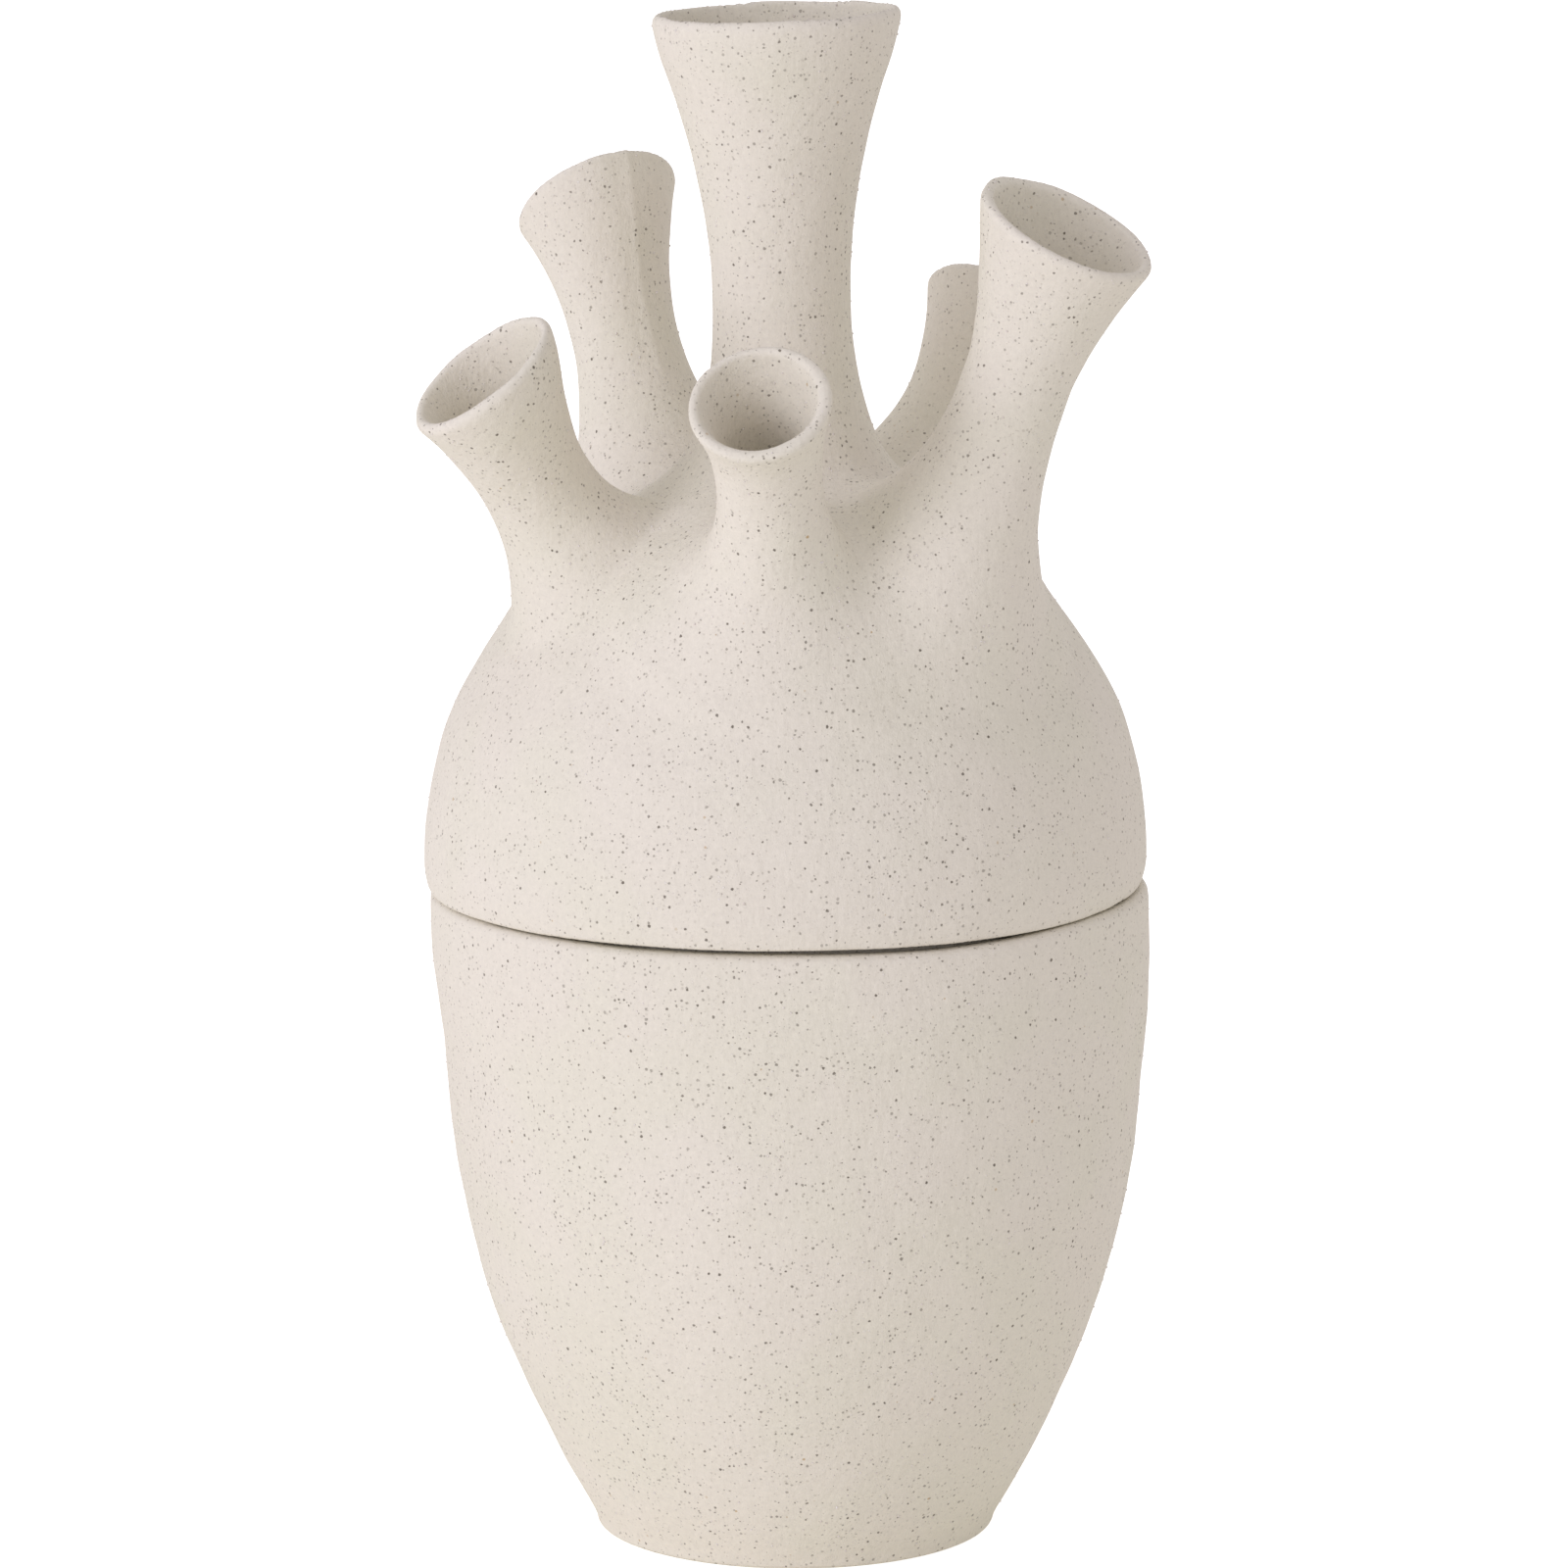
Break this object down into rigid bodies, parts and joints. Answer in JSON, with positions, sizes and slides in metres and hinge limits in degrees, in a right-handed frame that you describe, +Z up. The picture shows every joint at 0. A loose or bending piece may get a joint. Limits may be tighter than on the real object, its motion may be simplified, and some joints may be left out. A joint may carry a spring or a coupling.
{
  "type": "pottery vase",
  "caption": "Egg-shaped speckled stoneware flower vase with a lift-off domed cover carrying an upright centre spout and leaning trumpet spouts around it.",
  "frame": {"origin": "centre of the flat foot that the vase stands on", "axes": "+Z up along the vessel's axis, -Y towards the front, +X to the right seen from the front"},
  "size_m": [0.1617, 0.1682, 0.3396],
  "materials": {
    "vessel_clay": "matt unglazed stoneware with fine sandy grain and small dark specks",
    "cover_clay": "matt unglazed stoneware with fine sandy grain and small dark specks"
  },
  "bodies": {
    "vessel": {"lower_vessel": "vessel_clay"},
    "cover": {"cover_dome": "cover_clay", "centre_spout": "cover_clay", "front_spout": "cover_clay", "right_spout": "cover_clay", "right_rear_spout": "cover_clay", "left_rear_spout": "cover_clay", "left_front_spout": "cover_clay"}
  },
  "joints": [
    {"name": "cover_lift", "type": "slide", "parent": "vessel", "child": "cover", "axis": [0, 0, 1], "range_m": [0, 0.12]}
  ]
}
